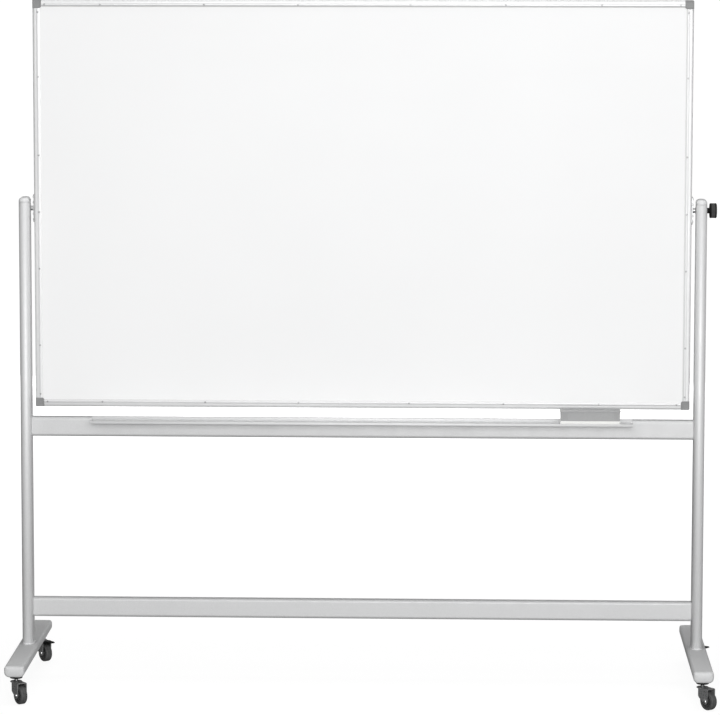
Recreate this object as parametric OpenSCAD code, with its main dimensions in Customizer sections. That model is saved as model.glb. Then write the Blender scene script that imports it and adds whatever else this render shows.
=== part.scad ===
// Rolling two-sided whiteboard: a framed board that turns over between two posts,
// on a stand with two cross beams, a pen tray and four swivel casters.
// Millimetres. +X to the viewer's right, -Y to the front, +Z up, floor at Z = 0.

/* [Board] */
// overall width of the framed board
board_w = 1800; // [1600:10:2000]
// overall height of the framed board
board_h = 1120; // [1000:10:1120]
// thickness of the frame rails, front to back
board_t = 22; // [20:1:26]
// visible face width of a frame rail
rail_face = 20; // [18:1:22]
// wall of the frame rails
rail_wall = 1.5; // [1.2:0.1:2]
// edge length of a corner cap
cap_size = 24; // [23:1:27]
// thickness of a writing sheet
sheet_t = 0.5; // [0.4:0.1:0.8]
// how far the pivot axis lies under the middle of the board
pivot_drop = 12; // [8:1:12]

/* [Stand] */
// height of the pivot axis above the floor
pivot_z = 1321; // [1321:1:1400]
// clear gap between the board edge and a post
post_gap = 11.5; // [11:0.5:16]
// post width, side to side
post_w = 30; // [30:1:34]
// post depth, front to back
post_d = 60; // [56:1:66]
// wall of posts and beams
tube_wall = 1.5; // [1.2:0.1:2]
// height of a cross beam
beam_h = 54; // [50:1:54]
// depth of a cross beam
beam_d = 30; // [28:1:30]
// corner radius of a cross beam
beam_r = 8; // [6:0.5:9]
// middle of the upper beam above the floor
upper_beam_z = 717; // [690:1:717]
// middle of the lower beam above the floor
lower_beam_z = 211; // [180:1:260]

/* [Feet] */
// foot width, side to side
foot_w = 55; // [52:1:62]
// foot height
foot_h = 31; // [29:1:34]
// foot length with its end caps
foot_len = 640; // [500:10:700]
// wall of a foot tube
foot_wall = 2; // [1.5:0.1:2.5]

/* [Casters] */
// wheel diameter
wheel_d = 50; // [48:1:50]
// wheel width
wheel_w = 19; // [17:1:20]
// distance from the swivel axis to the wheel axis
trail = 24; // [23:0.5:26]
// distance of a swivel axis from the end of its foot
kingpin_inset = 45; // [42:1:50]
// swivel angle of the front left caster
fl_turn = -55; // [-180:1:180]
// swivel angle of the front right caster
fr_turn = -51; // [-180:1:180]
// swivel angle of the rear left caster
rl_turn = -53; // [-180:1:180]
// swivel angle of the rear right caster
rr_turn = -40; // [-180:1:180]

/* [Clamp knob] */
// knob diameter
knob_d = 41; // [36:1:46]
// knob length along the axis
knob_len = 19.5; // [16:0.5:24]
// diameter of the spacer between post and knob
spacer_d = 15.5; // [14:0.5:18]
// length of the spacer
spacer_len = 6.7; // [6:0.1:9]

/* [Tray and eraser] */
// length of the pen tray
tray_len = 1486; // [1440:1:1560]
// depth of the pen tray in front of the beam
tray_depth = 60; // [56:1:70]
// wall of the pen tray
tray_wall = 2; // [1.6:0.1:2.2]
// eraser length
eraser_len = 165; // [120:5:180]
// eraser width
eraser_w = 43; // [38:1:46]
// height of the eraser's grip body
eraser_body_h = 28; // [22:1:30]
// thickness of the eraser's felt
felt_t = 10; // [6:1:10]

/* [Hidden] */
$fn = 64;

// board
hw = board_w / 2;
board_mid = pivot_z + pivot_drop;
zb = board_mid - board_h / 2;
zt = board_mid + board_h / 2;
half_t = board_t / 2;
core_half = half_t - rail_wall;
chamber = 7;
core_inset = rail_wall + chamber;
cap_proud = 1;
// corner cap radii, outer and inner corner
cap_ro = 4;
cap_ri = 6;
screw_inset = 14;
screw_r = 1.45;
screw_depth = 6.5;
// screw places along the rails, as fractions of the half width and half height
screw_fx = [-0.9633, -0.7944, -0.4789, -0.1933, 0.1456, 0.4333, 0.7233, 0.9600];
screw_fz = [0.9375, 0.6225, 0.2391, -0.0398, -0.3187, -0.6964, -0.9371];

// pivot
plate_h = 76;
plate_w = 18;
plate_t = 2.5;
shaft_r = 6.5;
spigot_r = 5;
plate_x = hw + plate_t;
plate_screw_z = [-31, -15.5, 15.5, 31];
flange_t = 1.5;
bush_r = 6.5;
stud_r = 3;

// stand
post_in = hw + post_gap;
post_x = post_in + post_w / 2;
post_out = post_in + post_w;
foot_z = 77;
foot_top = foot_z + foot_h;
post_top = pivot_z + 17;
post_cap_h = 14;
plug_len = 30;
beam_bolt_dz = 14;
foot_cap_h = 12;
// foot section radii, upper and lower edges
foot_rt = 8;
foot_rb = 14;
tube_half = foot_len / 2 - foot_cap_h;
kingpin_y = foot_len / 2 - kingpin_inset;

// tray
beam_front = -beam_d / 2;
tray_floor = upper_beam_z + beam_h / 2 - 6;
tray_screw_x = [-0.46, -0.276, -0.092, 0.092, 0.276, 0.46];
eraser_x = 0.4217 * tray_len;
eraser_y = beam_front - tray_depth / 2 - 1.5;

// casters
wheel_r = wheel_d / 2;
fork_top = 59.5;
collar_z = 69;
fork_t = 2.5;
fork_in = wheel_w / 2 + 2.5;
fork_out = fork_in + 2.5;
fork_rear = 10.6;
axle_r = 4;
pedal_u = trail + 3;
pedal_z = 54.5;

// ---------- shared shapes ----------

// flat oval outline, long axis along the second direction
module oval2d(w, d) {
  square([w, d - w], center = true);
  translate([0, (d - w) / 2]) circle(d = w);
  translate([0, -(d - w) / 2]) circle(d = w);
}

// rectangle with rounded corners
module rrect2d(w, h, r) {
  square([w - 2 * r, h], center = true);
  square([w, h - 2 * r], center = true);
  for (i = [-1, 1], j = [-1, 1])
    translate([i * (w / 2 - r), j * (h / 2 - r)]) circle(r = r);
}

// half profile of a cap with a rounded rim
module dome2d(hw2, h, r) {
  square([hw2 - r, h]);
  square([hw2, h - r]);
  intersection() {
    translate([hw2 - r, h - r]) circle(r = r);
    square([hw2, h]);
  }
}

// the same profile on both sides of the middle
module rim2d(hw2, h, r) {
  dome2d(hw2, h, r);
  mirror([1, 0]) dome2d(hw2, h, r);
}

// flat oval cap with a rounded rim, long axis along Y, base at Z = 0
module oval_dome(w, d, h, r) {
  translate([0, (d - w) / 2, 0]) rotate_extrude(angle = 180) dome2d(w / 2, h, r);
  translate([0, -(d - w) / 2, 0]) rotate([0, 0, 180]) rotate_extrude(angle = 180) dome2d(w / 2, h, r);
  translate([0, (d - w) / 2, 0]) rotate([90, 0, 0]) linear_extrude(d - w) rim2d(w / 2, h, r);
}

// foot section, drawn d inside the outer surface, up along the second direction
module foot2d(d) {
  w = foot_w - 2 * d;
  h = foot_h - 2 * d;
  rt = foot_rt - d;
  rb = foot_rb - d;
  translate([-w / 2, rb - h / 2]) square([w, h - rt - rb]);
  translate([rt - w / 2, rb - h / 2]) square([w - 2 * rt, h - rb]);
  translate([rb - w / 2, -h / 2]) square([w - 2 * rb, h - rt]);
  for (i = [-1, 1]) {
    translate([i * (w / 2 - rt), h / 2 - rt]) circle(r = rt);
    translate([i * (w / 2 - rb), rb - h / 2]) circle(r = rb);
  }
}

module xcyl(r, x0, x1) { translate([x0, 0, 0]) rotate([0, 90, 0]) cylinder(r = r, h = x1 - x0); }

// ---------- board ----------

module board_core() {
  color([0.72, 0.66, 0.55]) difference() {
    translate([0, 0, board_mid]) cube([board_w - 2 * core_inset, 2 * core_half, board_h - 2 * core_inset], center = true);
    for (i = [-1, 1], j = [-1, 1])
      translate([i * hw, 0, board_mid + j * board_h / 2]) cube([2 * cap_size, board_t, 2 * cap_size], center = true);
    for (s = [-1, 1]) frame_screw_places(s) translate([0, 0, -screw_depth]) cylinder(r = screw_r + 0.02, h = screw_depth + 1);
    for (s = [-1, 1], z = plate_screw_z)
      translate([0, 0, pivot_z + z]) scale([s, 1, 1]) xcyl(2.02, hw - core_inset - 15.5, hw);
  }
}

// places a child, drawn along +Z from the core's face, at every frame screw of one side
module frame_screw_places(s) {
  for (f = screw_fx, j = [-1, 1])
    translate([f * hw, s * core_half, board_mid + j * (board_h / 2 - screw_inset)]) rotate([-s * 90, 0, 0]) children();
  for (f = screw_fz, i = [-1, 1])
    translate([i * (hw - screw_inset), s * core_half, board_mid + f * board_h / 2]) rotate([-s * 90, 0, 0]) children();
}

module writing_sheet(s) {
  gap = 0.15;
  ow = board_w - 2 * rail_face - 2 * gap;
  oh = board_h - 2 * rail_face - 2 * gap;
  c = cap_size;
  difference() {
    translate([0, s * (core_half + sheet_t / 2), board_mid]) cube([ow, sheet_t, oh], center = true);
    for (i = [-1, 1], j = [-1, 1])
      translate([i * hw, s * core_half + 5, board_mid + j * board_h / 2]) scale([-i, 1, -j]) rotate([90, 0, 0]) linear_extrude(10) {
        square([c + gap, c - cap_ri]);
        square([c - cap_ri, c + gap]);
        translate([c - cap_ri, c - cap_ri]) circle(r = cap_ri + gap);
      }
  }
}
module front_writing_sheet() { color([0.96, 0.96, 0.96]) writing_sheet(-1); }
module rear_writing_sheet() { color([0.96, 0.96, 0.96]) writing_sheet(1); }

// rail section: outer wall on the first axis at 0, lips reaching inwards, front to back on the second axis
module rail2d() {
  difference() {
    translate([0, -half_t]) square([rail_face, board_t]);
    translate([rail_wall, -core_half]) square([rail_face, 2 * core_half]);
  }
}
module h_rail(j) {
  len = board_w - 2 * cap_size;
  color([0.84, 0.85, 0.86]) difference() {
    translate([-len / 2, 0, board_mid + j * board_h / 2]) rotate([0, 90, 0]) linear_extrude(len) scale([j, 1]) rail2d();
    for (s = [-1, 1], f = screw_fx)
      translate([f * hw, s * core_half, board_mid + j * (board_h / 2 - screw_inset)]) rotate([-s * 90, 0, 0]) translate([0, 0, -1]) cylinder(r = screw_r + 0.05, h = rail_wall + 2);
  }
}
module v_rail(i) {
  len = board_h - 2 * cap_size;
  color([0.84, 0.85, 0.86]) difference() {
    translate([i * hw, 0, board_mid - len / 2]) linear_extrude(len) scale([-i, 1]) rail2d();
    for (s = [-1, 1], f = screw_fz)
      translate([i * (hw - screw_inset), s * core_half, board_mid + f * board_h / 2]) rotate([-s * 90, 0, 0]) translate([0, 0, -1]) cylinder(r = screw_r + 0.05, h = rail_wall + 2);
    for (z = plate_screw_z)
      translate([0, 0, pivot_z + z]) scale([i, 1, 1]) xcyl(2.1, hw - rail_wall - 1, hw + 1);
  }
}
module top_frame_rail() { h_rail(1); }
module bottom_frame_rail() { h_rail(-1); }
module left_frame_rail() { v_rail(-1); }
module right_frame_rail() { v_rail(1); }

// corner block with a rounded inner corner and a tongue into each rail
module corner_cap(i, j) {
  ro = cap_ro;
  ri = cap_ri;
  c = cap_size;
  color([0.55, 0.56, 0.57])
  translate([i * hw, 0, board_mid + j * board_h / 2]) scale([-i, 1, -j]) {
    translate([0, half_t + cap_proud, 0]) rotate([90, 0, 0]) linear_extrude(board_t + 2 * cap_proud) {
      translate([ro, 0]) square([c - ro, c - ri]);
      translate([0, ro]) square([c - ri, c - ro]);
      translate([ro, ro]) circle(r = ro);
      translate([c - ri, c - ri]) circle(r = ri);
    }
    translate([c - ri - 0.5, -core_half, c - ri - 0.5]) cube([ri + 0.5, 2 * core_half, ri + 0.5]);
    translate([c - 0.5, -core_half + 0.2, rail_wall + 0.2]) cube([30, 2 * core_half - 0.4, chamber - 0.4]);
    translate([rail_wall + 0.2, -core_half + 0.2, c - 0.5]) cube([chamber - 0.4, 2 * core_half - 0.4, 30]);
  }
}
module top_left_corner_cap() { corner_cap(-1, 1); }
module top_right_corner_cap() { corner_cap(1, 1); }
module bottom_left_corner_cap() { corner_cap(-1, -1); }
module bottom_right_corner_cap() { corner_cap(1, -1); }

module frame_screws(s) {
  color([0.62, 0.63, 0.64]) frame_screw_places(s) {
    translate([0, 0, -screw_depth + 0.3]) cylinder(r = screw_r, h = screw_depth + rail_wall - 0.3);
    translate([0, 0, rail_wall]) cylinder(r1 = 2.5, r2 = 1.6, h = 0.9);
  }
}
module frame_screws_front() { frame_screws(-1); }
module frame_screws_rear() { frame_screws(1); }

// ---------- pivot ----------

module pivot_plate(i) {
  color([0.78, 0.79, 0.80]) difference() {
    translate([i * hw, 0, pivot_z]) scale([i, 1, 1]) rotate([0, 90, 0]) linear_extrude(plate_t) rrect2d(plate_h, plate_w, 4);
    for (z = plate_screw_z) translate([0, 0, pivot_z + z]) scale([i, 1, 1]) xcyl(2.1, hw - 1, plate_x + 1);
  }
}
module left_pivot_plate() { pivot_plate(-1); }
module right_pivot_plate() { pivot_plate(1); }

module pivot_plate_screws() {
  color([0.70, 0.71, 0.72])
  for (i = [-1, 1], z = plate_screw_z) translate([0, 0, pivot_z + z]) scale([i, 1, 1]) {
    xcyl(2, hw - core_inset - 15, plate_x);
    translate([plate_x, 0, 0]) rotate([0, 90, 0]) cylinder(r1 = 3.6, r2 = 2.6, h = 2);
  }
}

module left_pivot_shaft() {
  color([0.80, 0.81, 0.82]) translate([0, 0, pivot_z]) scale([-1, 1, 1]) {
    xcyl(shaft_r, plate_x, post_in - flange_t - 0.3);
    xcyl(spigot_r, post_in - flange_t - 0.3, post_in + 20);
  }
}
module right_pivot_shaft() {
  color([0.80, 0.81, 0.82]) translate([0, 0, pivot_z]) difference() {
    union() {
      xcyl(shaft_r, plate_x, post_in - flange_t - 0.3);
      xcyl(spigot_r, post_in - flange_t - 0.3, post_in + 20);
    }
    xcyl(stud_r + 0.05, plate_x + 2, post_in + 21);
  }
}

// ---------- clamp ----------

module clamp_spacer() {
  color([0.07, 0.07, 0.08]) translate([0, 0, pivot_z]) difference() {
    xcyl(spacer_d / 2, post_out + 0.3, post_out + 0.3 + spacer_len);
    xcyl(stud_r + 0.3, post_out, post_out + 1 + spacer_len);
  }
}
module clamp_knob() {
  k0 = post_out + 0.3 + spacer_len;
  color([0.06, 0.06, 0.07]) translate([k0, 0, pivot_z]) rotate([0, 90, 0]) difference() {
    rotate_extrude() {
      square([knob_d / 2 - 2.5, knob_len]);
      translate([0, 2.5]) square([knob_d / 2, knob_len - 5]);
      for (z = [2.5, knob_len - 2.5]) intersection() {
        translate([knob_d / 2 - 2.5, z]) circle(r = 2.5);
        translate([knob_d / 2 - 2.5, z - 2.5]) square([2.5, 5]);
      }
    }
    translate([0, 0, -1]) cylinder(r = stud_r, h = knob_len - 5);
  }
}
module clamp_stud() {
  k0 = post_out + 0.3 + spacer_len;
  color([0.74, 0.75, 0.76]) translate([0, 0, pivot_z]) xcyl(stud_r, plate_x + 4, k0 + knob_len - 6);
}

// ---------- stand ----------

module post(i) {
  color([0.80, 0.81, 0.82]) difference() {
    translate([i * post_x, 0, foot_top]) linear_extrude(post_top - foot_top) difference() {
      oval2d(post_w, post_d);
      oval2d(post_w - 2 * tube_wall, post_d - 2 * tube_wall);
    }
    translate([0, 0, pivot_z]) scale([i, 1, 1]) xcyl(bush_r, post_in - 1, post_in + tube_wall + 1);
    if (i > 0) translate([0, 0, pivot_z]) xcyl(stud_r + 0.4, post_out - tube_wall - 1, post_out + 1);
    for (z = [upper_beam_z, lower_beam_z], dz = [-beam_bolt_dz, beam_bolt_dz])
      translate([0, 0, z + dz]) scale([i, 1, 1]) xcyl(4.2, post_in - 1, post_out + 1);
  }
}
module left_post() { post(-1); }
module right_post() { post(1); }

module post_cap(i) {
  color([0.74, 0.75, 0.76]) translate([i * post_x, 0, post_top]) {
    oval_dome(post_w, post_d, post_cap_h, 10);
    translate([0, 0, -7]) linear_extrude(7) oval2d(post_w - 2 * tube_wall, post_d - 2 * tube_wall);
  }
}
module left_post_cap() { post_cap(-1); }
module right_post_cap() { post_cap(1); }

module beam(z, tray) {
  color([0.79, 0.80, 0.81]) difference() {
    translate([-post_in, 0, z]) rotate([0, 90, 0]) linear_extrude(2 * post_in) difference() {
      rrect2d(beam_h, beam_d, beam_r);
      rrect2d(beam_h - 2 * tube_wall, beam_d - 2 * tube_wall, beam_r - tube_wall);
    }
    if (tray) for (f = tray_screw_x)
      translate([f * tray_len, beam_front - 1, tray_floor - 8]) rotate([-90, 0, 0]) cylinder(r = 2.05, h = tube_wall + 2);
  }
}
module upper_beam() { beam(upper_beam_z, true); }
module lower_beam() { beam(lower_beam_z, false); }

module beam_end_plugs() {
  color([0.30, 0.31, 0.32])
  for (i = [-1, 1], z = [upper_beam_z, lower_beam_z]) difference() {
    translate([0, 0, z]) scale([i, 1, 1]) translate([post_in - plug_len, 0, 0]) rotate([0, 90, 0])
      linear_extrude(plug_len) rrect2d(beam_h - 2 * tube_wall, beam_d - 2 * tube_wall, beam_r - tube_wall);
    for (dz = [-beam_bolt_dz, beam_bolt_dz])
      translate([0, 0, z + dz]) scale([i, 1, 1]) xcyl(4, post_in - 22, post_in + 1);
  }
}
module beam_bolts() {
  color([0.70, 0.71, 0.72])
  for (i = [-1, 1], z = [upper_beam_z, lower_beam_z], dz = [-beam_bolt_dz, beam_bolt_dz])
    translate([0, 0, z + dz]) scale([i, 1, 1]) {
      xcyl(4, post_in - 21, post_out);
      translate([post_out, 0, 0]) rotate([0, 90, 0]) cylinder(r1 = 7, r2 = 6.2, h = 1);
    }
}
module pivot_bushes() {
  color([0.62, 0.63, 0.64])
  for (i = [-1, 1]) translate([0, 0, pivot_z]) scale([i, 1, 1]) difference() {
    union() {
      xcyl(9, post_in - flange_t, post_in);
      xcyl(bush_r, post_in, post_in + 16);
    }
    xcyl(spigot_r + 0.05, post_in - flange_t - 1, post_in + 17);
  }
}

module foot(i) {
  color([0.70, 0.71, 0.72]) difference() {
    translate([i * post_x, 0, foot_z + foot_h / 2]) {
      translate([0, tube_half, 0]) rotate([90, 0, 0]) linear_extrude(2 * tube_half) difference() {
        foot2d(0);
        foot2d(foot_wall);
      }
      for (s = [-1, 1]) translate([0, s * kingpin_y, -foot_h / 2 + foot_wall - 0.5]) cylinder(r = 10, h = foot_h - 2 * foot_wall - 2);
    }
    for (s = [-1, 1]) translate([i * post_x, s * kingpin_y, foot_z - 1]) cylinder(r = 5.02, h = foot_h - 5);
    for (s = [-1, 1]) translate([i * post_x, s * 15, foot_z - 1]) cylinder(r = 4.2, h = foot_h + 2);
  }
}
module left_foot() { foot(-1); }
module right_foot() { foot(1); }

module foot_end_caps() {
  color([0.66, 0.67, 0.68])
  for (i = [-1, 1], s = [-1, 1]) translate([i * post_x, s * tube_half, foot_z + foot_h / 2]) rotate([90, 0, s > 0 ? 180 : 0]) {
    intersection() {
      linear_extrude(foot_cap_h) foot2d(0);
      translate([-foot_w / 2 - 1, 0, 0]) rotate([90, 0, 90]) linear_extrude(foot_w + 2) rim2d(foot_h / 2, foot_cap_h, 8);
      translate([0, foot_h / 2 + 1, 0]) rotate([90, 0, 0]) linear_extrude(foot_h + 2) rim2d(foot_w / 2, foot_cap_h, 9);
    }
    translate([0, 0, -14]) linear_extrude(14) foot2d(foot_wall);
  }
}
module post_base_plugs() {
  color([0.30, 0.31, 0.32])
  for (i = [-1, 1]) translate([i * post_x, 0, foot_top]) difference() {
    linear_extrude(30) oval2d(post_w - 2 * tube_wall, post_d - 2 * tube_wall);
    for (s = [-1, 1]) translate([0, s * 15, -1]) cylinder(r = 4, h = 27);
  }
}
module post_foot_bolts() {
  color([0.70, 0.71, 0.72])
  for (i = [-1, 1], s = [-1, 1]) translate([i * post_x, s * 15, 0]) {
    translate([0, 0, foot_z]) cylinder(r = 4, h = foot_h + 25);
    translate([0, 0, foot_z - 4]) cylinder(r1 = 5.5, r2 = 6.8, h = 4);
  }
}

// ---------- tray and eraser ----------

module pen_tray() {
  y0 = beam_front;
  lip = 3;
  apron = 3.6;
  color([0.86, 0.87, 0.88]) difference() {
    translate([-tray_len / 2, 0, tray_floor]) rotate([90, 0, 90]) linear_extrude(tray_len) {
      translate([y0 - tray_wall, -14]) square([tray_wall, 22.5]);
      translate([y0 - tray_depth, -tray_wall]) square([tray_depth, tray_wall]);
      translate([y0 - tray_depth, -apron]) square([tray_wall, apron + lip - tray_wall / 2]);
      translate([y0 - tray_depth + tray_wall / 2, lip - tray_wall / 2]) circle(d = tray_wall);
    }
    for (f = tray_screw_x)
      translate([f * tray_len, beam_front - tray_wall - 1, tray_floor - 8]) rotate([-90, 0, 0]) cylinder(r = 2.1, h = tray_wall + 2);
  }
}
module tray_screws() {
  color([0.70, 0.71, 0.72])
  for (f = tray_screw_x) translate([f * tray_len, beam_front - tray_wall, tray_floor - 8]) {
    rotate([-90, 0, 0]) cylinder(r = 2, h = tray_wall + 9);
    rotate([90, 0, 0]) cylinder(r1 = 3.6, r2 = 2.4, h = 2.2);
  }
}

module eraser_felt() {
  color([0.93, 0.93, 0.92]) translate([eraser_x, eraser_y, tray_floor]) linear_extrude(felt_t) rrect2d(eraser_len - 1, eraser_w - 2, 3);
}
module eraser_body() {
  color([0.66, 0.67, 0.68]) translate([eraser_x, eraser_y, tray_floor + felt_t]) {
    linear_extrude(eraser_body_h - 3) rrect2d(eraser_len - 3, eraser_w - 3, 3);
    translate([0, 0, eraser_body_h - 3]) linear_extrude(3) rrect2d(eraser_len, eraser_w, 3);
  }
}

// ---------- casters ----------

// places a caster part drawn with the swivel axis on Z and the wheel towards +X
module at_caster(i, s, turn) { translate([i * post_x, s * kingpin_y, 0]) rotate([0, 0, turn]) children(); }
module all_casters() {
  for (i = [-1, 1], s = [-1, 1]) translate([i * post_x, s * kingpin_y, 0]) children();
}

module caster_collars() {
  color([0.12, 0.12, 0.13]) all_casters() difference() {
    translate([0, 0, collar_z]) cylinder(r = 18.5, h = foot_z - collar_z);
    translate([0, 0, collar_z - 1]) cylinder(r = 5.02, h = foot_z - collar_z + 2);
  }
}
module caster_stems() {
  color([0.82, 0.83, 0.84]) all_casters() {
    translate([0, 0, 53.2]) cylinder(r = 7.5, h = 3.5);
    translate([0, 0, 56.7]) cylinder(r = 5, h = 45);
    difference() {
      translate([0, 0, fork_top + 0.3]) cylinder(r = 6, h = collar_z - fork_top - 0.3);
      translate([0, 0, fork_top]) cylinder(r = 4, h = collar_z - fork_top + 3);
    }
  }
}

// side outline of a fork, swivel axis at 0, heights as in the caster
module cheek2d(nose) {
  polygon([[-fork_rear - 1, fork_top], [-fork_rear - 1, 40.7], [trail - 8.6, 22], [trail + 8.8, 26], [nose, 47], [nose, fork_top]]);
  translate([trail, wheel_r]) circle(r = 9);
}
// fork outline from above, set in by d: half round at the rear, straight to the nose
module fork_plan2d(d, nose) {
  c = fork_out - fork_rear;
  translate([c, 0]) circle(r = fork_out - d);
  translate([c, d - fork_out]) square([nose - c, 2 * (fork_out - d)]);
}
module fork(i, s, turn, brake) {
  nose = trail + 10;
  lid = trail - 6;
  color([0.10, 0.10, 0.11]) at_caster(i, s, turn) difference() {
    union() {
      translate([0, 0, fork_top - fork_t]) cylinder(r = 16.5, h = fork_t);
      intersection() {
        translate([0, fork_out + 1, 0]) rotate([90, 0, 0]) linear_extrude(2 * fork_out + 2) cheek2d(nose);
        linear_extrude(fork_top) fork_plan2d(0, nose);
      }
    }
    translate([0, 0, -1]) linear_extrude(fork_top - fork_t + 1) fork_plan2d(fork_t, nose + 5);
    if (brake) translate([lid, -fork_in, fork_top - 10]) cube([30, 2 * fork_in, 20]);
    translate([0, 0, fork_top - 10]) cylinder(r = 5.05, h = 20);
    translate([trail, 0, wheel_r]) rotate([90, 0, 0]) cylinder(r = axle_r + 0.02, h = 60, center = true);
    if (brake) translate([pedal_u, 0, pedal_z]) rotate([90, 0, 0]) cylinder(r = 2.1, h = 60, center = true);
  }
}
module front_left_fork() { fork(-1, -1, fl_turn, false); }
module front_right_fork() { fork(1, -1, fr_turn, false); }
module rear_left_fork() { fork(-1, 1, rl_turn, true); }
module rear_right_fork() { fork(1, 1, rr_turn, true); }

module axle(i, s, turn) {
  color([0.82, 0.83, 0.84]) at_caster(i, s, turn) translate([trail, 0, wheel_r]) {
    rotate([90, 0, 0]) cylinder(r = axle_r, h = 2 * fork_out, center = true);
    for (m = [0, 180]) rotate([0, 0, m]) translate([0, fork_out, 0]) rotate([-90, 0, 0]) cylinder(r1 = 6.2, r2 = 5, h = 3);
  }
}
module front_left_axle() { axle(-1, -1, fl_turn); }
module front_right_axle() { axle(1, -1, fr_turn); }
module rear_left_axle() { axle(-1, 1, rl_turn); }
module rear_right_axle() { axle(1, 1, rr_turn); }

module hub(i, s, turn) {
  w = wheel_w / 2;
  r = wheel_r - 7.5;
  color([0.25, 0.25, 0.26]) at_caster(i, s, turn) translate([trail, 0, wheel_r]) rotate([90, 0, 0]) rotate_extrude()
    polygon([[axle_r + 0.05, -w - 1], [7, -w - 1], [7, -w + 3], [r - 2.5, -w + 3], [r - 2.5, -w + 1], [r, -w + 1],
             [r, w - 1], [r - 2.5, w - 1], [r - 2.5, w - 3], [7, w - 3], [7, w + 1], [axle_r + 0.05, w + 1]]);
}
module front_left_hub() { hub(-1, -1, fl_turn); }
module front_right_hub() { hub(1, -1, fr_turn); }
module rear_left_hub() { hub(-1, 1, rl_turn); }
module rear_right_hub() { hub(1, 1, rr_turn); }

module tyre(i, s, turn) {
  w = wheel_w / 2;
  q = 4;
  color([0.13, 0.13, 0.14]) at_caster(i, s, turn) translate([trail, 0, wheel_r]) rotate([90, 0, 0]) rotate_extrude() {
    translate([wheel_r - 7.5, -w]) square([7.5 - q, 2 * w]);
    translate([wheel_r - q, -w + q]) square([q, 2 * w - 2 * q]);
    for (z = [-w + q, w - q]) intersection() {
      translate([wheel_r - q, z]) circle(r = q);
      translate([wheel_r - q, z - q]) square([q, 2 * q]);
    }
  }
}
module front_left_tyre() { tyre(-1, -1, fl_turn); }
module front_right_tyre() { tyre(1, -1, fr_turn); }
module rear_left_tyre() { tyre(-1, 1, rl_turn); }
module rear_right_tyre() { tyre(1, 1, rr_turn); }

module brake_pedal(i, turn) {
  b = fork_in - 0.5;
  q = 6;
  tip = 37.5;
  color([0.09, 0.09, 0.10]) at_caster(i, 1, turn) translate([pedal_u, 0, pedal_z]) {
    intersection() {
      rotate([90, 0, 0]) linear_extrude(2 * b + 2, center = true) {
        circle(r = 4.4);
        polygon([[0, -4.4], [3, -3], [19, 0.5], [36, 3], [tip, 4.5], [36, 6.8], [17, 6], [0, 4.4]]);
      }
      translate([0, 0, -8]) linear_extrude(20) {
        translate([-8, -b]) square([tip + 8 - q, 2 * b]);
        translate([-8, q - b]) square([tip + 8, 2 * (b - q)]);
        for (m = [-1, 1]) translate([tip - q, m * (b - q)]) circle(r = q);
      }
    }
    rotate([90, 0, 0]) cylinder(r = 2, h = 2 * fork_out - 0.4, center = true);
  }
}
module rear_left_brake_pedal() { brake_pedal(-1, rl_turn); }
module rear_right_brake_pedal() { brake_pedal(1, rr_turn); }

board_core();
front_writing_sheet();
rear_writing_sheet();
top_frame_rail();
bottom_frame_rail();
left_frame_rail();
right_frame_rail();
top_left_corner_cap();
top_right_corner_cap();
bottom_left_corner_cap();
bottom_right_corner_cap();
frame_screws_front();
frame_screws_rear();
left_pivot_plate();
right_pivot_plate();
pivot_plate_screws();
left_pivot_shaft();
right_pivot_shaft();
clamp_spacer();
clamp_knob();
clamp_stud();
left_post();
right_post();
left_post_cap();
right_post_cap();
upper_beam();
lower_beam();
beam_end_plugs();
beam_bolts();
pivot_bushes();
left_foot();
right_foot();
foot_end_caps();
post_base_plugs();
post_foot_bolts();
pen_tray();
tray_screws();
caster_collars();
caster_stems();
front_left_fork();
front_right_fork();
rear_left_fork();
rear_right_fork();
front_left_axle();
front_right_axle();
rear_left_axle();
rear_right_axle();
front_left_hub();
front_right_hub();
rear_left_hub();
rear_right_hub();
front_left_tyre();
front_right_tyre();
rear_left_tyre();
rear_right_tyre();
rear_left_brake_pedal();
rear_right_brake_pedal();
eraser_body();
eraser_felt();
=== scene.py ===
import math
import random

import bpy
import bmesh
from mathutils import Matrix, Vector


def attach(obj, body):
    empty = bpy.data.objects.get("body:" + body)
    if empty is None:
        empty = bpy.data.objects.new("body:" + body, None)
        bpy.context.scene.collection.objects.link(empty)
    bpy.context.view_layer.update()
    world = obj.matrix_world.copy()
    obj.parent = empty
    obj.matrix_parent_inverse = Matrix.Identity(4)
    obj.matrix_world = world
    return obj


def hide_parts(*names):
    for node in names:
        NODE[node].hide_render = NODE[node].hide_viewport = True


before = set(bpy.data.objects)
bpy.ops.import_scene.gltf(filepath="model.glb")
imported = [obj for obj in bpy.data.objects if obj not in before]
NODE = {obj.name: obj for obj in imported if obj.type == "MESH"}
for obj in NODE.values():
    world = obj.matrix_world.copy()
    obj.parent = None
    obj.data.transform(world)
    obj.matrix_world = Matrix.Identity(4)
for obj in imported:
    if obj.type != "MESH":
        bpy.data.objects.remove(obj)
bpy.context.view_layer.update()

MM = 0.001
RNG = random.Random(7)
PI = math.pi

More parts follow.
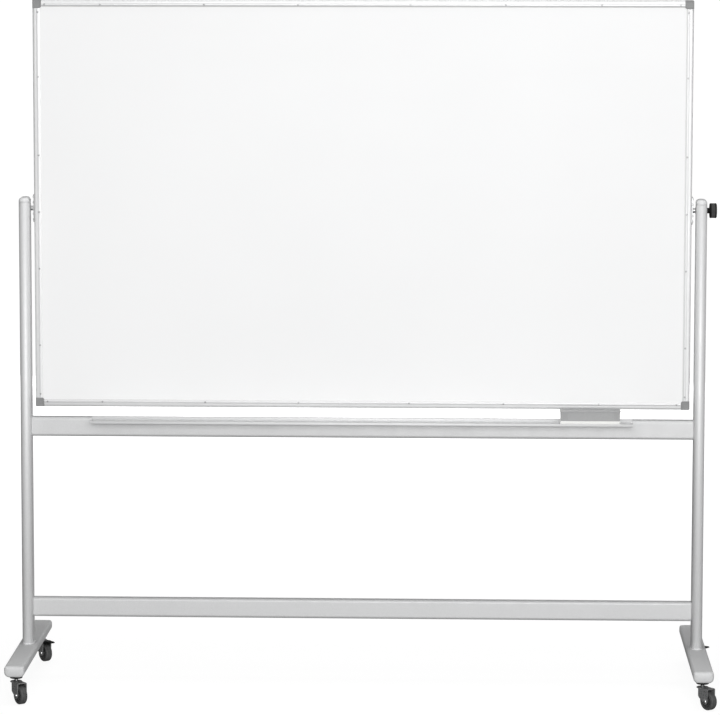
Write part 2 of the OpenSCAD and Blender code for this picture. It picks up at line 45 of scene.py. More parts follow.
# ---------------------------------------------------------------- dimensions, mm (as in the CAD source)
HW, ZB, ZT = 900.0, 773.0, 1893.0
MID = (ZB + ZT) / 2
HALF_T, CORE_HALF = 11.0, 9.5
CAP = 24.0
PIVOT_Z = 1321.0
POST_X, POST_IN, POST_OUT = 926.5, 911.5, 941.5
FOOT_Z, FOOT_TOP = 77.0, 108.0
POST_TOP = 1338.0
UPPER_Z, LOWER_Z = 717.0, 211.0
TUBE_HALF, KING_Y = 308.0, 275.0
TRAY_HALF, TRAY_FLOOR = 743.0, 738.0
ER_X, ER_Y = 0.4217 * 1486, -46.5
FORK_TOP, TRAIL, WHEEL_R = 59.5, 24.0, 25.0
SCREW_FX = [-0.9633, -0.7944, -0.4789, -0.1933, 0.1456, 0.4333, 0.7233, 0.9600]
SCREW_FZ = [0.9375, 0.6225, 0.2391, -0.0398, -0.3187, -0.6964, -0.9371]
CASTERS = {
    "front_left": (-1, -1, -55.0),
    "front_right": (1, -1, -51.0),
    "rear_left": (-1, 1, -53.0),
    "rear_right": (1, 1, -40.0),
}


# ---------------------------------------------------------------- mesh building
class Build:
    """Collects closed shells in millimetres and turns them into one object."""

    def __init__(self):
        self.v, self.f = [], []

    def add(self, verts, faces, m=None):
        o = len(self.v)
        self.v += [(m @ Vector(p)) if m is not None else Vector(p) for p in verts]
        self.f += [[i + o for i in f] for f in faces]
        return self

    def loft(self, rings, m=None, cap0=True, cap1=True, loop=False):
        """Skins closed rings of equal length; loop joins the last ring to the first."""
        n = len(rings[0])
        verts = [p for r in rings for p in r]
        faces = []
        k = len(rings)
        for i in range(k if loop else k - 1):
            a, b = i * n, ((i + 1) % k) * n
            for j in range(n):
                j2 = (j + 1) % n
                faces.append([a + j, a + j2, b + j2, b + j])
        if not loop:
            if cap0:
                faces.append(list(range(n))[::-1])
            if cap1:
                faces.append([(k - 1) * n + j for j in range(n)])
        return self.add(verts, faces, m)

    def lathe(self, prof, m=None, seg=48, closed=False):
        """Turns (radius, height) points about local Z. Radius 0 makes a pole."""
        verts, faces, rings = [], [], []
        for r, z in prof:
            if r < 1e-6:
                rings.append([len(verts)])
                verts.append((0, 0, z))
            else:
                rings.append(list(range(len(verts), len(verts) + seg)))
                verts += [(r * math.cos(2 * PI * k / seg), r * math.sin(2 * PI * k / seg), z) for k in range(seg)]
        pairs = list(zip(rings, rings[1:])) + ([(rings[-1], rings[0])] if closed else [])
        for a, b in pairs:
            for k in range(seg):
                q = [a[k % len(a)], a[(k + 1) % len(a)], b[(k + 1) % len(b)], b[k % len(b)]]
                u = []
                for i in q:
                    if i not in u:
                        u.append(i)
                if len(u) > 2:
                    faces.append(u)
        return self.add(verts, faces, m)

    def prism(self, outline, z0, z1, m=None, r0=0.6, r1=None, n=3):
        """Extrudes an outline along local Z with rounded rims."""
        r1 = r0 if r1 is None else r1
        low = [[(x, y, z0 + r0 * (1 - math.cos(PI / 2 * k / n))) for x, y in inset(outline, r0 * (1 - math.sin(PI / 2 * k / n)))] for k in range(n + 1)]
        top = [[(x, y, z1 - r1 * (1 - math.cos(PI / 2 * k / n))) for x, y in inset(outline, r1 * (1 - math.sin(PI / 2 * k / n)))] for k in range(n, -1, -1)]
        return self.loft(low + top, m)

    def tube(self, outer, inner, z0, z1, ch, m=None):
        """A hollow section with chamfered outer rims."""
        oi = inset(outer, ch)
        prof = [(inner, z0), (oi, z0), (outer, z0 + ch), (outer, z1 - ch), (oi, z1), (inner, z1)]
        return self.loft([[(x, y, z) for x, y in o] for o, z in prof], m, loop=True)

    def obj(self, name, body, slot, mat, replaces=(), sharp=38, bevel=0.0, weighted=True):
        me = bpy.data.meshes.new(name)
        me.from_pydata([p * MM for p in self.v], [], self.f)
        bm = bmesh.new()
        bm.from_mesh(me)
        bmesh.ops.remove_doubles(bm, verts=bm.verts, dist=1e-7)
        bmesh.ops.dissolve_degenerate(bm, edges=bm.edges, dist=1e-7)
        bmesh.ops.recalc_face_normals(bm, faces=bm.faces)
        for f in bm.faces:
            f.smooth = True
        bm.to_mesh(me)
        bm.free()
        me.set_sharp_from_angle(angle=math.radians(sharp))
        o = bpy.data.objects.new(name, me)
        bpy.context.scene.collection.objects.link(o)
        me.materials.append(mat)
        if bevel:
            b = o.modifiers.new("edge", "BEVEL")
            b.width, b.segments, b.limit_method, b.angle_limit = bevel * MM, 2, "ANGLE", math.radians(sharp)
            b.use_clamp_overlap = True
        if weighted:
            w = o.modifiers.new("normals", "WEIGHTED_NORMAL")
            w.keep_sharp, w.weight = True, 50
        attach(o, body)
        if replaces:
            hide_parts(*replaces)
        return o


def inset(outline, d):
    """Moves a counter-clockwise outline inwards by d."""
    if abs(d) < 1e-9:
        return list(outline)
    out, n = [], len(outline)
    for i in range(n):
        p0, p1, p2 = outline[i - 1], outline[i], outline[(i + 1) % n]
        a = (p1[0] - p0[0], p1[1] - p0[1])
        b = (p2[0] - p1[0], p2[1] - p1[1])
        la, lb = math.hypot(*a) or 1e-9, math.hypot(*b) or 1e-9
        n1, n2 = (-a[1] / la, a[0] / la), (-b[1] / lb, b[0] / lb)
        k = d / max(0.25, 1 + n1[0] * n2[0] + n1[1] * n2[1])
        out.append((p1[0] + (n1[0] + n2[0]) * k, p1[1] + (n1[1] + n2[1]) * k))
    return out


def arc(cx, cy, r, a0, a1, n):
    return [(cx + r * math.cos(math.radians(a0 + (a1 - a0) * k / n)), cy + r * math.sin(math.radians(a0 + (a1 - a0) * k / n))) for k in range(n + 1)]


def rrect(w, h, r, n=6):
    w, h = w / 2, h / 2
    return arc(w - r, -h + r, r, -90, 0, n) + arc(w - r, h - r, r, 0, 90, n) + arc(-w + r, h - r, r, 90, 180, n) + arc(-w + r, -h + r, r, 180, 270, n)


def oval(w, d, n=28):
    """Flat oval, long axis along the second direction."""
    h = (d - w) / 2
    return arc(0, h, w / 2, 0, 180, n) + arc(0, -h, w / 2, 180, 360, n)


def basis(o, z, x=None):
    z = Vector(z).normalized()
    x = Vector(x) if x is not None else (Vector((1, 0, 0)) if abs(z.x) < 0.9 else Vector((0, 1, 0)))
    x = (x - z * x.dot(z)).normalized()
    y = z.cross(x)
    return Matrix(((x.x, y.x, z.x, o[0]), (x.y, y.y, z.y, o[1]), (x.z, y.z, z.z, o[2]), (0, 0, 0, 1)))


def head(b, m, r, h, kind, rec_r, rec_d, shank_r, shank_l, seg=32):
    """A domed screw head on local Z = 0 with a cross or hexagon recess, and its shank below."""
    rhos = [0.0, 0.12, 0.22, 0.32, 0.42, 0.52, 0.62, 0.72, 0.82, 0.91, 0.97, 1.0]
    verts, faces, rings = [], [], []
    for q in rhos:
        rho = q * r
        z = h * (1 - 0.10 * q * q) - (h * 0.62 * max(0.0, (q - 0.55) / 0.45) ** 2.2)
        cnt = 1 if q == 0 else seg
        ring = []
        for k in range(cnt):
            t = 2 * PI * k / seg
            x, y = rho * math.cos(t), rho * math.sin(t)
            if kind == "cross":
                w = 0.20 * rec_r + 0.10 * (rec_r - rho)
                inside = 1.0 if (min(abs(x), abs(y)) < w and rho < rec_r) else 0.0
            else:
                e = max(abs(x), abs(0.5 * x + 0.866 * y), abs(0.5 * x - 0.866 * y))
                inside = 1.0 if e < rec_r * 0.866 else 0.0
            ring.append(len(verts))
            verts.append((x, y, z - rec_d * inside))
        rings.append(ring)
    for rr, z in ((r, 0.0), (shank_r, 0.0), (shank_r, -shank_l)):
        rings.append(list(range(len(verts), len(verts) + seg)))
        verts += [(rr * math.cos(2 * PI * k / seg), rr * math.sin(2 * PI * k / seg), z) for k in range(seg)]
    rings.append([len(verts)])
    verts.append((0, 0, -shank_l))
    for a, c in zip(rings, rings[1:]):
        for k in range(seg):
            q = [a[k % len(a)], a[(k + 1) % len(a)], c[(k + 1) % len(c)], c[k % len(c)]]
            u = []
            for i in q:
                if i not in u:
                    u.append(i)
            if len(u) > 2:
                faces.append(u)
    b.add(verts, faces, m)


# ---------------------------------------------------------------- materials
def shader(name, rough, metallic=0.0, spec=0.5, coat=0.0, coat_rough=0.1, sheen=0.0, ior=1.5):
    m = bpy.data.materials.new(name)
    m.use_nodes = True
    nt = m.node_tree
    nt.nodes.clear()
    out = nt.nodes.new("ShaderNodeOutputMaterial")
    p = nt.nodes.new("ShaderNodeBsdfPrincipled")
    nt.links.new(p.outputs[0], out.inputs[0])
    p.inputs["Roughness"].default_value = rough
    p.inputs["Metallic"].default_value = metallic
    p.inputs["Specular IOR Level"].default_value = spec
    p.inputs["Coat Weight"].default_value = coat
    p.inputs["Coat Roughness"].default_value = coat_rough
    p.inputs["Sheen Weight"].default_value = sheen
    p.inputs["IOR"].default_value = ior
    return m, nt, p


def place(nt, scale=(1, 1, 1)):
    """Object coordinates in metres, stretched."""
    t = nt.nodes.new("ShaderNodeTexCoord")
    s = nt.nodes.new("ShaderNodeMapping")
    s.inputs["Scale"].default_value = scale
    nt.links.new(t.outputs["Object"], s.inputs["Vector"])
    return s.outputs["Vector"]


def noise(nt, vec, scale, detail=3.0, rough=0.55, distort=0.0):
    n = nt.nodes.new("ShaderNodeTexNoise")
    n.inputs["Scale"].default_value = scale
    n.inputs["Detail"].default_value = detail
    n.inputs["Roughness"].default_value = rough
    n.inputs["Distortion"].default_value = distort
    nt.links.new(vec, n.inputs["Vector"])
    return n.outputs["Fac"]


def ramp(nt, fac, stops):
    r = nt.nodes.new("ShaderNodeValToRGB")
    e = r.color_ramp.elements
    while len(e) < len(stops):
        e.new(0.5)
    for el, (pos, col) in zip(e, stops):
        el.position = pos
        el.color = (*col, 1) if isinstance(col, tuple) else (col, col, col, 1)
    nt.links.new(fac, r.inputs["Fac"])
    return r.outputs["Color"]


def remap(nt, fac, a, b, lo=0.3, hi=0.7):
    r = nt.nodes.new("ShaderNodeMapRange")
    r.inputs["From Min"].default_value, r.inputs["From Max"].default_value = lo, hi
    r.inputs["To Min"].default_value, r.inputs["To Max"].default_value = a, b
    nt.links.new(fac, r.inputs["Value"])
    return r.outputs["Result"]


def mixc(nt, fac, a, b):
    m = nt.nodes.new("ShaderNodeMix")
    m.data_type = "RGBA"
    nt.links.new(fac, m.inputs["Factor"])
    for s, v in ((m.inputs["A"], a), (m.inputs["B"], b)):
        if isinstance(v, tuple):
            [x for x in m.inputs if x.name == s.name and x.type == "RGBA"][0].default_value = (*v, 1)
        else:
            nt.links.new(v, [x for x in m.inputs if x.name == s.name and x.type == "RGBA"][0])
    return [x for x in m.outputs if x.type == "RGBA"][0]


def bump(nt, p, height, strength, distance):
    b = nt.nodes.new("ShaderNodeBump")
    b.inputs["Strength"].default_value = strength
    b.inputs["Distance"].default_value = distance
    nt.links.new(height, b.inputs["Height"])
    nt.links.new(b.outputs["Normal"], p.inputs["Normal"])


def g(v):
    return (v, v, v)


def tint(v, d=0.0):
    """A neutral with a slight cool lean."""
    return (v * (1 - d), v, v * (1 + d))


def lacquer():
    m, nt, p = shader("white_lacquer", 0.44, 0.0, 0.14)
    v = place(nt)
    broad = noise(nt, v, 1.4, 2.0)
    fine = noise(nt, v, 420.0, 2.0)
    c = ramp(nt, broad, [(0.30, tint(0.856, 0.002)), (0.70, tint(0.874, 0.002))])
    nt.links.new(c, p.inputs["Base Color"])
    wipe = noise(nt, place(nt, (0.9, 1.0, 7.0)), 2.6, 5.0, 0.6, 0.35)
    nt.links.new(remap(nt, wipe, 0.40, 0.48), p.inputs["Roughness"])
    bump(nt, p, fine, 0.05, 0.0001)
    return m


def aluminium(name, stretch, base=0.65, rough=0.40, metallic=0.40):
    m, nt, p = shader(name, rough, metallic, 0.22)
    grain = noise(nt, place(nt, stretch), 1.0, 4.0, 0.65)
    c = ramp(nt, grain, [(0.30, tint(base * 0.965, 0.004)), (0.70, tint(base * 1.03, 0.004))])
    nt.links.new(c, p.inputs["Base Color"])
    nt.links.new(remap(nt, grain, rough - 0.05, rough + 0.08), p.inputs["Roughness"])
    bump(nt, p, grain, 0.12, 0.00006)
    return m


def powder(name, base, rough=0.50, metallic=0.22):
    m, nt, p = shader(name, rough, metallic, 0.45, coat=0.05, coat_rough=0.35)
    v = place(nt)
    flake = nt.nodes.new("ShaderNodeTexVoronoi")
    flake.inputs["Scale"].default_value = 1700.0
    nt.links.new(v, flake.inputs["Vector"])
    sep = nt.nodes.new("ShaderNodeSeparateColor")
    nt.links.new(flake.outputs["Color"], sep.inputs["Color"])
    broad = noise(nt, v, 5.0, 3.0)
    c = ramp(nt, sep.outputs["Red"], [(0.0, tint(base * 0.94, 0.005)), (0.8, tint(base * 1.02, 0.005)), (1.0, tint(base * 1.12, 0.005))])
    c2 = mixc(nt, remap(nt, broad, 0.0, 0.16), c, tint(base * 0.90, 0.005))
    nt.links.new(c2, p.inputs["Base Color"])
    peel = noise(nt, v, 620.0, 2.0)
    nt.links.new(remap(nt, noise(nt, v, 38.0, 3.0), rough - 0.05, rough + 0.06), p.inputs["Roughness"])
    bump(nt, p, peel, 0.10, 0.00012)
    return m


def plastic(name, base, rough, grain=1500.0, depth=0.00012, wear=None, spec=0.5, coat=0.0):
    """Moulded plastic with a spark-eroded grain and faint rub marks."""
    m, nt, p = shader(name, rough, 0.0, spec, coat=coat, coat_rough=0.2)
    v = place(nt)
    gr = noise(nt, v, grain, 2.0, 0.6)
    broad = noise(nt, v, 60.0, 3.0)
    c = ramp(nt, gr, [(0.35, tint(base * 0.90, 0.006)), (0.65, tint(base * 1.10, 0.006))])
    rub = noise(nt, place(nt, (1, 1, 2.2)), 95.0, 5.0, 0.7, 0.4)
    k = remap(nt, rub, 0.0, 0.5, 0.62, 0.80)
    c = mixc(nt, k, c, tint(wear if wear is not None else base * 1.25, 0.004))
    nt.links.new(c, p.inputs["Base Color"])
    nt.links.new(remap(nt, broad, rough - 0.07, rough + 0.09), p.inputs["Roughness"])
    bump(nt, p, gr, 0.30, depth)
    return m


def steel(name, base, rough, scale=(900, 900, 60), metallic=1.0):
    m, nt, p = shader(name, rough, metallic)
    lines = noise(nt, place(nt, scale), 1.0, 3.0)
    blotch = noise(nt, place(nt), 130.0, 3.0)
    c = ramp(nt, blotch, [(0.3, tint(base * 0.92, 0.006)), (0.7, tint(base * 1.04, 0.003))])
    nt.links.new(c, p.inputs["Base Color"])
    nt.links.new(remap(nt, lines, max(0.05, rough - 0.06), rough + 0.10), p.inputs["Roughness"])
    bump(nt, p, lines, 0.10, 0.00005)
    return m


def rubber(name, base):
    m, nt, p = shader(name, 0.62, 0.0, 0.4)
    v = place(nt)
    dust = noise(nt, v, 140.0, 5.0, 0.7)
    fine = noise(nt, v, 1900.0, 2.0)
    c = ramp(nt, dust, [(0.35, tint(base, 0.004)), (0.62, tint(base * 1.5, 0.004)), (0.80, (base * 2.6, base * 2.5, base * 2.35))])
    nt.links.new(c, p.inputs["Base Color"])
    nt.links.new(remap(nt, dust, 0.52, 0.74), p.inputs["Roughness"])
    bump(nt, p, fine, 0.35, 0.00015)
    return m


def felt():
    m, nt, p = shader("felt", 0.95, 0.0, 0.2, sheen=0.5)
    v = place(nt)
    fibre = noise(nt, place(nt, (1, 1, 3.0)), 900.0, 6.0, 0.75, 0.8)
    clump = noise(nt, v, 160.0, 3.0)
    c = ramp(nt, fibre, [(0.30, (0.78, 0.78, 0.76)), (0.70, (0.93, 0.93, 0.92))])
    c = mixc(nt, remap(nt, clump, 0.0, 0.25), c, (0.80, 0.80, 0.78))
    nt.links.new(c, p.inputs["Base Color"])
    bump(nt, p, fibre, 0.6, 0.0006)
    return m


def card():
    m, nt, p = shader("paper_core", 0.9, 0.0, 0.2)
    cell = nt.nodes.new("ShaderNodeTexVoronoi")
    cell.feature = "DISTANCE_TO_EDGE"
    cell.inputs["Scale"].default_value = 70.0
    nt.links.new(place(nt), cell.inputs["Vector"])
    c = ramp(nt, cell.outputs["Distance"], [(0.0, (0.50, 0.41, 0.28)), (0.12, (0.66, 0.57, 0.42))])
    nt.links.new(c, p.inputs["Base Color"])
    bump(nt, p, cell.outputs["Distance"], 0.4, 0.001)
    return m


def knob_plastic():
    """Black moulded knob: the knurled middle between its smooth rims is painted grey as a painted highlight, and the
    rims are painted near-black as painted shade, with random rub marks over both; the tones change along the knob's
    axis.
    """
    m, nt, p = shader("knob_plastic", 0.44, 0.0, 0.14)
    t = nt.nodes.new("ShaderNodeTexCoord")
    sep = nt.nodes.new("ShaderNodeSeparateXYZ")
    nt.links.new(t.outputs["Object"], sep.inputs[0])
    # painted shade: rims near-black; painted highlight: knurled middle grey
    painted_shade_and_highlight = ramp(nt, remap(nt, sep.outputs["X"], 0.0, 1.0, 0.9485, 0.968), [(0.0, 0.003), (0.20, 0.003), (0.26, 0.052), (0.74, 0.052), (0.80, 0.003), (1.0, 0.003)])
    rub = noise(nt, place(nt, (0.5, 1, 1)), 260.0, 4.0, 0.7, 0.3)
    c = mixc(nt, remap(nt, rub, 0.0, 0.25, 0.55, 0.80), painted_shade_and_highlight, tint(0.030, 0.004))
    nt.links.new(c, p.inputs["Base Color"])
    gr = noise(nt, place(nt), 1500.0, 2.0, 0.6)
    nt.links.new(remap(nt, gr, 0.38, 0.52), p.inputs["Roughness"])
    bump(nt, p, gr, 0.30, 0.00012)
    return m


MAT = {
    "lacquer": lacquer(),
    "alu_x": aluminium("anodised_rail_along", (4.0, 1600.0, 1600.0)),
    "alu_z": aluminium("anodised_rail_upright", (1600.0, 1600.0, 4.0)),
    "tray": aluminium("anodised_tray", (4.0, 1500.0, 1500.0), 0.67, 0.45, 0.10),
    "card": card(),
    "corner": plastic("corner_plastic", 0.235, 0.50, wear=0.31),
    "screw": steel("zinc_screw", 0.42, 0.34),
    "pivot": steel("plated_pivot", 0.46, 0.36, (60, 1500, 1500)),
    "paint": powder("silver_powder_coat", 0.71),
    # painted shade: the beam and foot coats are darker copies of the posts' silver powder coat
    "beam": powder("silver_coat_beam_shaded", 0.60),
    "foot": powder("silver_coat_foot_shaded", 0.54, 0.62),
    "cap": plastic("silver_plastic", 0.60, 0.46, 1300.0, 0.00008, wear=0.66),
    "post_cap": plastic("post_cap_plastic", 0.72, 0.44, 1300.0, 0.00008, wear=0.76),
    "black": plastic("black_plastic", 0.009, 0.42, wear=0.022, spec=0.14),
    "bush": plastic("bush_plastic", 0.40, 0.48, wear=0.46),
    "knob": knob_plastic(),
    "insert": steel("plain_insert", 0.20, 0.5, metallic=0.8),
    "fork": steel("black_nickel_fork", 0.27, 0.28, (260, 260, 260), metallic=0.45),
    "bright": steel("bright_plate", 0.80, 0.16, (700, 700, 80)),
    "stem": steel("dark_plate", 0.30, 0.34, (700, 700, 80)),
    "hub": plastic("hub_plastic", 0.050, 0.42, wear=0.10),
    "tyre": rubber("tyre_rubber", 0.058),
    "eraser": plastic("eraser_plastic", 0.37, 0.52, 1200.0, 0.00010, wear=0.40, spec=0.35),
    "felt": felt(),
}


def dress(node, key):
    o = NODE[node]
    o.data.materials.clear()
    o.data.materials.append(MAT[key])
    for f in o.data.polygons:
        f.material_index = 0


for n, k in (("board_core", "card"), ("front_writing_sheet", "lacquer"), ("rear_writing_sheet", "lacquer"),
             ("clamp_stud", "screw"), ("beam_end_plugs", "insert"), ("post_base_plugs", "insert")):
    dress(n, k)


# ---------------------------------------------------------------- board frame
def rail_profile():
    """(distance from the outer edge, front to back): a channel with a round outer edge, a face rising to a crest with a fine bead beside it, and a lip sloping down to the sheet."""
    r = 4.6
    half = [(0.0, 5.6)] + [(r - r * math.cos(a), 5.9 + r * math.sin(a)) for a in [math.radians(80) * k / 9 for k in range(1, 10)]]
    half += [(9.2, 11.28), (9.5, 11.24), (9.9, 11.30), (10.2, 11.42), (14.4, 11.97), (15.0, 12.0), (15.5, 11.88), (19.4, 10.16), (20.0, 10.02), (20.0, 9.5), (1.5, 9.5)]
    return half


def rail(name, a0, a1, node, mat):
    """a0 to a1 are the rail's two ends on its outer edge; the profile reaches inwards."""
    a0, a1 = Vector(a0), Vector(a1)
    mid = Vector((0, 0, MID))
    along = (a1 - a0).normalized()
    inward = (mid - (a0 + a1) / 2).normalized()
    top = rail_profile()
    wall = [(0.0, 3.4), (0.45, 3.0), (0.45, -3.0), (0.0, -3.4)]
    ring2d = top[::-1] + wall + [(a, -y) for a, y in top]
    rings = []
    length = (a1 - a0).length
    for t in (0.0, length):
        rings.append([a0 + along * t + inward * a + Vector((0, y, 0)) for a, y in ring2d])
    b = Build().loft(rings)
    return b.obj(name, "board", "frame_aluminium", mat, [node], sharp=50, weighted=False)


E = CAP
rail("rail_top", (-HW + E, 0, ZT), (HW - E, 0, ZT), "top_frame_rail", MAT["alu_x"])
rail("rail_bottom", (-HW + E, 0, ZB), (HW - E, 0, ZB), "bottom_frame_rail", MAT["alu_x"])
rail("rail_left", (-HW, 0, ZB + E), (-HW, 0, ZT - E), "left_frame_rail", MAT["alu_z"])
rail("rail_right", (HW, 0, ZB + E), (HW, 0, ZT - E), "right_frame_rail", MAT["alu_z"])


def corner(name, i, j, node):
    """Moulded corner: rounded inner corner, soft rims, a shallow sunk panel on each face and two tongues."""
    c = CAP
    def ring(d):
        ro, rs, ri = max(0.3, 4.0 - d), max(0.2, 0.7 - d), max(0.3, 6.0 - d)
        return (arc(d + ro, d + ro, ro, 180, 270, 8) + arc(c - d - rs, d + rs, rs, 270, 360, 3)
                + arc(c - d - ri, c - d - ri, ri, 0, 90, 8) + arc(d + rs, c - d - rs, rs, 90, 180, 3))
    m = Matrix(((-i, 0, 0, i * HW), (0, 0, 1, 0), (0, -j, 0, MID + j * (ZT - MID)), (0, 0, 0, 1)))
    b = Build()
    t = HALF_T + 1.7
    rings = []
    for s in (-1, 1):
        part = []
        for d, z in ((9.0, t - 0.40), (4.3, t - 0.45), (3.9, t - 0.36), (3.5, t - 0.06), (3.1, t), (1.5, t), (0.95, t - 0.12), (0.45, t - 0.42), (0.12, t - 0.95), (0.0, t - 1.6)):
            part.append([(x, y, s * z) for x, y in ring(d)])
        rings += part if s < 0 else part[::-1]
    b.loft(rings, m)
    for q in (((c - 1, 1.8), (c + 29, 8.2)), ((1.8, c - 1), (8.2, c + 29))):
        (x0, y0), (x1, y1) = q
        b.prism([(x0, y0), (x1, y0), (x1, y1), (x0, y1)], -9.2, 9.2, m, 0.5, n=1)
    return b.obj(name, "board", "corner_plastic", MAT["corner"], [node])


for nm, i, j in (("top_left", -1, 1), ("top_right", 1, 1), ("bottom_left", -1, -1), ("bottom_right", 1, -1)):
    corner("cap_" + nm, i, j, nm + "_corner_cap")


def frame_screws(name, s, node):
    b = Build()
    spots = [(f * HW, MID + j * (MID - ZB - 14)) for f in SCREW_FX for j in (-1, 1)]
    spots += [(i * (HW - 14), MID + f * (MID - ZB)) for f in SCREW_FZ for i in (-1, 1)]
    for k, (x, z) in enumerate(spots):
        a = RNG.random() * PI
        head(b, basis((x, s * (HALF_T + 0.75), z), (0, s, 0), (math.cos(a), 0, math.sin(a))), 2.5, 1.0, "cross", 1.6, 0.55, 1.45, 8.3)
    return b.obj(name, "board", "screw_steel", MAT["screw"], [node], sharp=40, weighted=False)


frame_screws("rail_screws_front", -1, "frame_screws_front")
frame_screws("rail_screws_rear", 1, "frame_screws_rear")

# ---------------------------------------------------------------- pivots and clamp
for side, i in (("left", -1), ("right", 1)):
    b = Build()
    b.prism(rrect(76, 18, 4, 8), 0, 2.5, basis((i * HW, 0, PIVOT_Z), (i, 0, 0), (0, 0, 1)), 0.05, 0.8, 3)
    b.obj("pivot_plate_" + side, "board", "pivot_steel", MAT["pivot"], [side + "_pivot_plate"])
    b = Build()
    prof = [(6.5, 902.5), (6.5, 908.9), (6.1, 909.4), (5.6, 909.7), (5.0, 909.7), (5.0, 930.6), (4.2, 931.5)]
    prof = [(7.6, 902.5), (7.6, 903.6), (7.2, 904.0), (6.5, 904.0)] + prof[1:]
    if i < 0:
        prof = [(0, 902.5)] + prof + [(0, 931.5)]
        b.lathe(prof, basis((0, 0, PIVOT_Z), (i, 0, 0)), 48)
    else:
        prof = [(0, 902.5)] + prof + [(3.05, 931.5), (3.05, 904.5), (0, 904.5)]
        b.lathe(prof, basis((0, 0, PIVOT_Z), (i, 0, 0)), 48)
    b.obj("pivot_shaft_" + side, "board", "pivot_steel", MAT["pivot"], [side + "_pivot_shaft"])

b = Build()
for i in (-1, 1):
    for k, z in enumerate((-31, -15.5, 15.5, 31)):
        a = 0.5 + 1.1 * k + i
        head(b, basis((i * 902.5, 0, PIVOT_Z + z), (i, 0, 0), (0, math.cos(a), math.sin(a))), 3.6, 2.0, "cross", 2.2, 0.9, 2.0, 24)
b.obj("plate_screws", "board", "screw_steel", MAT["screw"], ["pivot_plate_screws"], sharp=40, weighted=False)

b = Build()
for i in (-1, 1):
    b.lathe([(5.05, -1.5), (8.4, -1.5), (8.9, -1.2), (9.0, -0.8), (9.0, 0.0), (6.5, 0.0), (6.5, 16.0), (5.05, 16.0)],
            basis((i * POST_IN, 0, PIVOT_Z), (i, 0, 0)), 48, closed=True)
b.obj("bushes", "stand", "bush_plastic", MAT["bush"], ["pivot_bushes"])

b = Build()
b.lathe([(3.3, 941.8), (7.2, 941.8), (7.65, 942.1), (7.75, 942.6), (7.75, 944.4), (7.35, 944.8), (7.35, 945.4), (7.75, 945.8), (7.75, 947.9), (7.4, 948.5), (3.3, 948.5)],
        basis((0, 0, PIVOT_Z), (1, 0, 0)), 48, closed=True)
b.obj("spacer", "clamp_knob", "black_plastic", MAT["black"], ["clamp_spacer"])


def knob():
    """Knurled knob: fine ribs between two smooth round rims, a dished face with a raised centre and a hollow back."""
    R, ribs, per = 20.5, 44, 8
    n = ribs * per
    L = 19.5
    ts = [2 * PI * k / n for k in range(n)]
    wave = [0.5 - 0.5 * math.cos(2 * PI * k / per) for k in range(n)]
    rim = 3.4
    prof = []
    for k in range(8):
        a = PI / 2 * k / 7
        prof.append((rim * (1 - math.sin(a)), rim * (1 - math.cos(a)), 0.0))
    prof += [(0.0, rim + 0.7, 0.0), (0.25, rim + 1.1, 0.25), (0.3, rim + 1.8, 0.85)]
    prof += [(d, L - z, w) for d, z, w in prof[::-1]]
    rings = [[((R - d - w * v) * math.cos(t), (R - d - w * v) * math.sin(t), z) for t, v in zip(ts, wave)] for d, z, w in prof]
    def flat(r, z):
        return [(r * math.cos(t), r * math.sin(t), z) for t in ts]
    front = [flat(14.6, L), flat(14.0, L - 0.3), flat(13.4, L - 1.1), flat(9.2, L - 1.1), flat(8.8, L - 0.9), flat(8.4, L - 0.4), flat(7.6, L - 0.2), flat(3.0, L - 0.05)]
    back = [flat(3.0, 0.0), flat(9.4, 0.0), flat(9.8, 0.3), flat(10.0, 2.2), flat(14.6, 2.2), flat(15.0, 1.8), flat(15.2, 0.0)]
    b = Build().loft(back + rings + front, basis((948.5, 0, PIVOT_Z), (1, 0, 0)))
    return b.obj("knob", "clamp_knob", "black_plastic", MAT["knob"], ["clamp_knob"], sharp=45)


knob()

# ---------------------------------------------------------------- posts, beams, feet
for side, i in (("left", -1), ("right", 1)):
    m = Matrix.Translation((i * POST_X, 0, 0))
    b = Build().tube(oval(30, 60), oval(27, 57), FOOT_TOP, POST_TOP, 1.1, m)
    bead = [(0.3, 0.0), (-1.5, 0.0), (-1.7, 0.5), (-1.6, 1.1), (-1.1, 1.8), (-0.4, 2.4), (0.3, 2.8)]
    b.loft([[(x, y, FOOT_TOP + z) for x, y in inset(oval(30, 60), d)] for d, z in bead], m, loop=True)
    b.obj("post_" + side, "stand", "silver_paint", MAT["paint"], [side + "_post"], sharp=50, weighted=False)
    o = oval(30, 60)
    rings = [[(x, y, -7.0) for x, y in inset(o, 1.6)], [(x, y, -0.02) for x, y in inset(o, 1.6)], [(x, y, 0.02) for x, y in inset(o, 1.1)], [(x, y, 1.05) for x, y in o], [(x, y, 4.0) for x, y in o]]
    for k in range(1, 11):
        a = PI / 2 * k / 10
        rings.append([(x, y, 4.0 + 10 * math.sin(a)) for x, y in inset(o, 10 * (1 - math.cos(a)))])
    rings.append([(x, y, 14.0) for x, y in inset(o, 12.5)])
    Build().loft(rings, Matrix.Translation((i * POST_X, 0, POST_TOP))).obj("post_cap_" + side, "stand", "silver_plastic", MAT["post_cap"], [side + "_post_cap"], sharp=50)

for nm, z in (("upper", UPPER_Z), ("lower", LOWER_Z)):
    b = Build().tube(rrect(54, 30, 8, 10), rrect(51, 27, 6.5, 10), -POST_IN, POST_IN, 0.8, basis((0, 0, z), (1, 0, 0), (0, 0, 1)))
    b.obj("beam_" + nm, "stand", "silver_paint", MAT["beam"], [nm + "_beam"], sharp=50)

b = Build()
for i in (-1, 1):
    for z in (UPPER_Z, LOWER_Z):
        for dz in (-14, 14):
            head(b, basis((i * POST_OUT, 0, z + dz), (i, 0, 0), (0, 1, 0)), 7.0, 1.0, "hex", 3.2, 0.7, 4.0, 50)
b.obj("beam_bolt_set", "stand", "screw_steel", MAT["screw"], ["beam_bolts"], sharp=40, weighted=False)

FOOT_MID = FOOT_Z + 15.5


